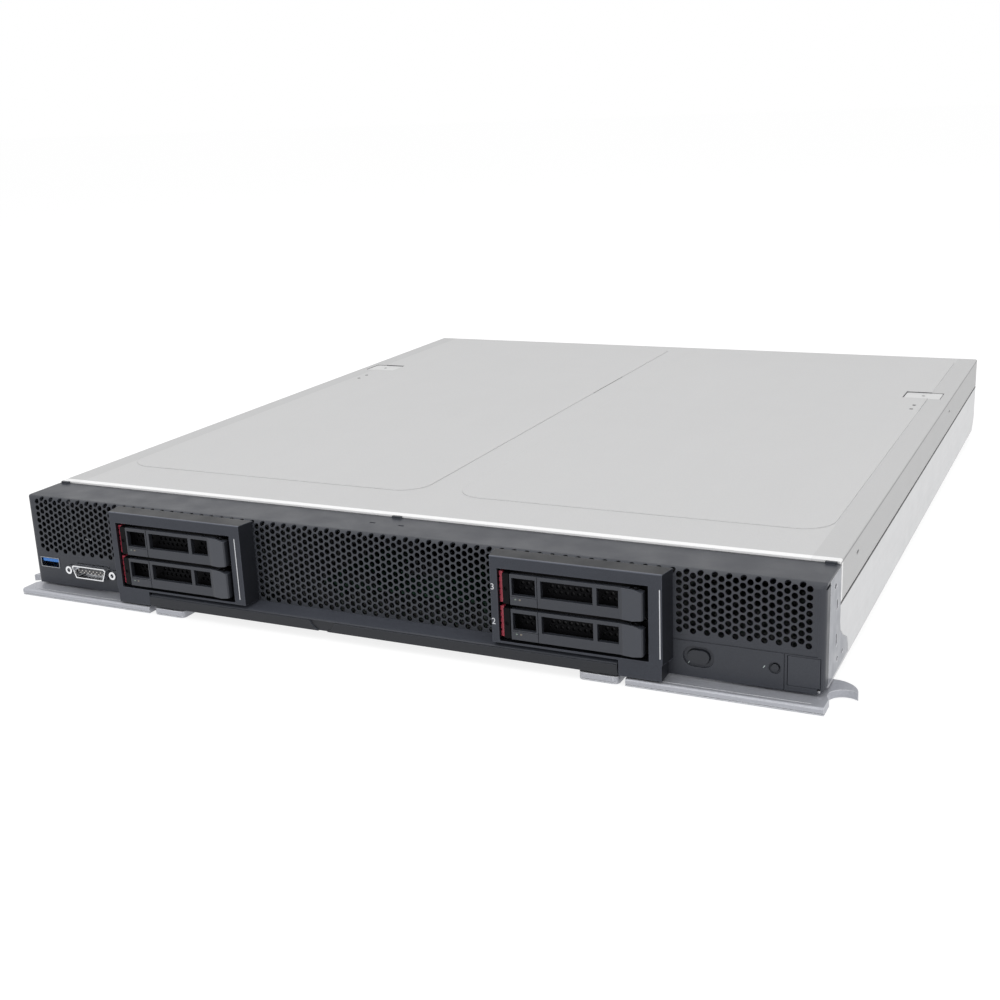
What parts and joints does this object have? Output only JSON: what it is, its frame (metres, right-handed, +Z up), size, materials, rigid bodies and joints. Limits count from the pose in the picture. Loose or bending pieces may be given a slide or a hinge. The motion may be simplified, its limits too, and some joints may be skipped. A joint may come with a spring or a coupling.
{
  "type": "blade server",
  "caption": "Full-width blade server: flat steel chassis, perforated dark bezel, two proud drive cages, cam levers, sliding cover and hot-swap drives.",
  "frame": {"origin": "middle of the part's box in X and Y, at its lowest point, the underside of the cam levers", "axes": "+X towards the operator panel's end of the front, +Y from the bezel to the rear connectors, +Z up"},
  "size_m": [0.46, 0.5024, 0.0555],
  "materials": {
    "cover_paint": "satin light grey paint",
    "steel_sheet": "zinc-plated sheet",
    "bright_bracket": "zinc-plated sheet, brighter edges",
    "bezel_plastic": "charcoal, fine grain",
    "black_plastic": "black",
    "lever_metal": "satin grey",
    "plated_shell": "nickel-plated",
    "sink_metal": "extruded",
    "circuit_board": "green solder mask",
    "drive_case": "cast case",
    "latch_red": "dark red"
  },
  "bodies": {
    "chassis": {"chassis_tray": "steel_sheet", "front_frame": "bright_bracket", "bezel_frame": "bezel_plastic", "grille_left": "bezel_plastic", "grille_centre": "bezel_plastic", "grille_right": "bezel_plastic", "port_panel": "bezel_plastic", "operator_panel": "bezel_plastic", "lower_lip": "bezel_plastic", "cage_front_left": "bezel_plastic", "cage_front_right": "bezel_plastic", "drive_bay_left": "steel_sheet", "drive_bay_right": "steel_sheet", "backplane_left": "circuit_board", "backplane_right": "circuit_board", "usb_port": "plated_shell", "console_connector": "plated_shell", "lever_pivots": "plated_shell", "system_board": "circuit_board", "board_screws": "plated_shell", "processors": "plated_shell", "heat_sink_front_left": "sink_metal", "heat_sink_front_right": "sink_metal", "heat_sink_rear_left": "sink_metal", "heat_sink_rear_right": "sink_metal", "memory_sockets": "black_plastic", "memory_modules": "circuit_board", "air_baffle": "black_plastic", "storage_adapter": "circuit_board", "board_battery": "plated_shell", "io_adapter_left": "circuit_board", "io_adapter_right": "circuit_board", "midplane_connectors": "black_plastic"},
    "top_cover": {"top_cover": "cover_paint", "cover_latch_brackets": "steel_sheet"},
    "cover_latch_left": {"cover_latch_left": "cover_paint"},
    "cover_latch_right": {"cover_latch_right": "cover_paint"},
    "lever_left": {"lever_left": "lever_metal"},
    "lever_right": {"lever_right": "lever_metal"},
    "lever_latch_left": {"lever_latch_left": "lever_metal"},
    "lever_latch_right": {"lever_latch_right": "lever_metal"},
    "power_button": {"power_button": "bezel_plastic"},
    "service_button": {"service_button": "bezel_plastic"},
    "label_tab": {"label_tab": "bezel_plastic"},
    "drive_left_lower": {"tray_left_lower": "black_plastic", "drive_left_lower": "drive_case"},
    "tray_handle_left_lower": {"tray_handle_left_lower": "bezel_plastic"},
    "tray_latch_left_lower": {"tray_latch_left_lower": "latch_red"},
    "drive_left_upper": {"tray_left_upper": "black_plastic", "drive_left_upper": "drive_case"},
    "tray_handle_left_upper": {"tray_handle_left_upper": "bezel_plastic"},
    "tray_latch_left_upper": {"tray_latch_left_upper": "latch_red"},
    "drive_right_lower": {"tray_right_lower": "black_plastic", "drive_right_lower": "drive_case"},
    "tray_handle_right_lower": {"tray_handle_right_lower": "bezel_plastic"},
    "tray_latch_right_lower": {"tray_latch_right_lower": "latch_red"},
    "drive_right_upper": {"tray_right_upper": "black_plastic", "drive_right_upper": "drive_case"},
    "tray_handle_right_upper": {"tray_handle_right_upper": "bezel_plastic"},
    "tray_latch_right_upper": {"tray_latch_right_upper": "latch_red"}
  },
  "joints": [
    {"name": "cover_slide", "type": "slide", "parent": "chassis", "child": "top_cover", "axis": [0, 1, 0], "range_m": [0, 0.013]},
    {"name": "lever_right_turn", "type": "hinge", "parent": "chassis", "child": "lever_right", "pos_m": [0.204, -0.22685, 0.00175], "axis": [0, 0, 1], "range_deg": [0, 65]},
    {"name": "lever_left_turn", "type": "hinge", "parent": "chassis", "child": "lever_left", "pos_m": [-0.204, -0.22685, 0.00175], "axis": [0, 0, -1], "range_deg": [0, 65]},
    {"name": "lever_latch_right_slide", "type": "slide", "parent": "chassis", "child": "lever_latch_right", "axis": [-1, 0, 0], "range_m": [0, 0.003], "stiffness_N_per_m": 600, "springref_m": -0.001},
    {"name": "lever_latch_left_slide", "type": "slide", "parent": "chassis", "child": "lever_latch_left", "axis": [1, 0, 0], "range_m": [0, 0.003], "stiffness_N_per_m": 600, "springref_m": -0.001},
    {"name": "power_press", "type": "slide", "parent": "chassis", "child": "power_button", "axis": [0, 1, 0], "range_m": [0, 0.001], "stiffness_N_per_m": 800, "springref_m": -0.0005},
    {"name": "service_press", "type": "slide", "parent": "chassis", "child": "service_button", "axis": [0, 1, 0], "range_m": [0, 0.0008], "stiffness_N_per_m": 800, "springref_m": -0.0005},
    {"name": "label_tab_slide", "type": "slide", "parent": "chassis", "child": "label_tab", "axis": [0, -1, 0], "range_m": [0, 0.05]},
    {"name": "cover_latch_left_press", "type": "slide", "parent": "top_cover", "child": "cover_latch_left", "axis": [0, 0, -1], "range_m": [0, 0.002], "stiffness_N_per_m": 1000, "springref_m": -0.001},
    {"name": "cover_latch_right_press", "type": "slide", "parent": "top_cover", "child": "cover_latch_right", "axis": [0, 0, -1], "range_m": [0, 0.002], "stiffness_N_per_m": 1000, "springref_m": -0.001},
    {"name": "drive_left_lower_slide", "type": "slide", "parent": "chassis", "child": "drive_left_lower", "axis": [0, -1, 0], "range_m": [0, 0.11]},
    {"name": "tray_handle_left_lower_turn", "type": "hinge", "parent": "drive_left_lower", "child": "tray_handle_left_lower", "pos_m": [-0.082, -0.24775, 0.02225], "axis": [0, 0, 1], "range_deg": [0, 50]},
    {"name": "tray_latch_left_lower_slide", "type": "slide", "parent": "drive_left_lower", "child": "tray_latch_left_lower", "axis": [-1, 0, 0], "range_m": [0, 0.0015], "stiffness_N_per_m": 400, "springref_m": -0.0005},
    {"name": "drive_left_upper_slide", "type": "slide", "parent": "chassis", "child": "drive_left_upper", "axis": [0, -1, 0], "range_m": [0, 0.11]},
    {"name": "tray_handle_left_upper_turn", "type": "hinge", "parent": "drive_left_upper", "child": "tray_handle_left_upper", "pos_m": [-0.082, -0.24775, 0.03905], "axis": [0, 0, 1], "range_deg": [0, 50]},
    {"name": "tray_latch_left_upper_slide", "type": "slide", "parent": "drive_left_upper", "child": "tray_latch_left_upper", "axis": [-1, 0, 0], "range_m": [0, 0.0015], "stiffness_N_per_m": 400, "springref_m": -0.0005},
    {"name": "drive_right_lower_slide", "type": "slide", "parent": "chassis", "child": "drive_right_lower", "axis": [0, -1, 0], "range_m": [0, 0.11]},
    {"name": "tray_handle_right_lower_turn", "type": "hinge", "parent": "drive_right_lower", "child": "tray_handle_right_lower", "pos_m": [0.1375, -0.24775, 0.02225], "axis": [0, 0, 1], "range_deg": [0, 50]},
    {"name": "tray_latch_right_lower_slide", "type": "slide", "parent": "drive_right_lower", "child": "tray_latch_right_lower", "axis": [-1, 0, 0], "range_m": [0, 0.0015], "stiffness_N_per_m": 400, "springref_m": -0.0005},
    {"name": "drive_right_upper_slide", "type": "slide", "parent": "chassis", "child": "drive_right_upper", "axis": [0, -1, 0], "range_m": [0, 0.11]},
    {"name": "tray_handle_right_upper_turn", "type": "hinge", "parent": "drive_right_upper", "child": "tray_handle_right_upper", "pos_m": [0.1375, -0.24775, 0.03905], "axis": [0, 0, 1], "range_deg": [0, 50]},
    {"name": "tray_latch_right_upper_slide", "type": "slide", "parent": "drive_right_upper", "child": "tray_latch_right_upper", "axis": [-1, 0, 0], "range_m": [0, 0.0015], "stiffness_N_per_m": 400, "springref_m": -0.0005}
  ]
}
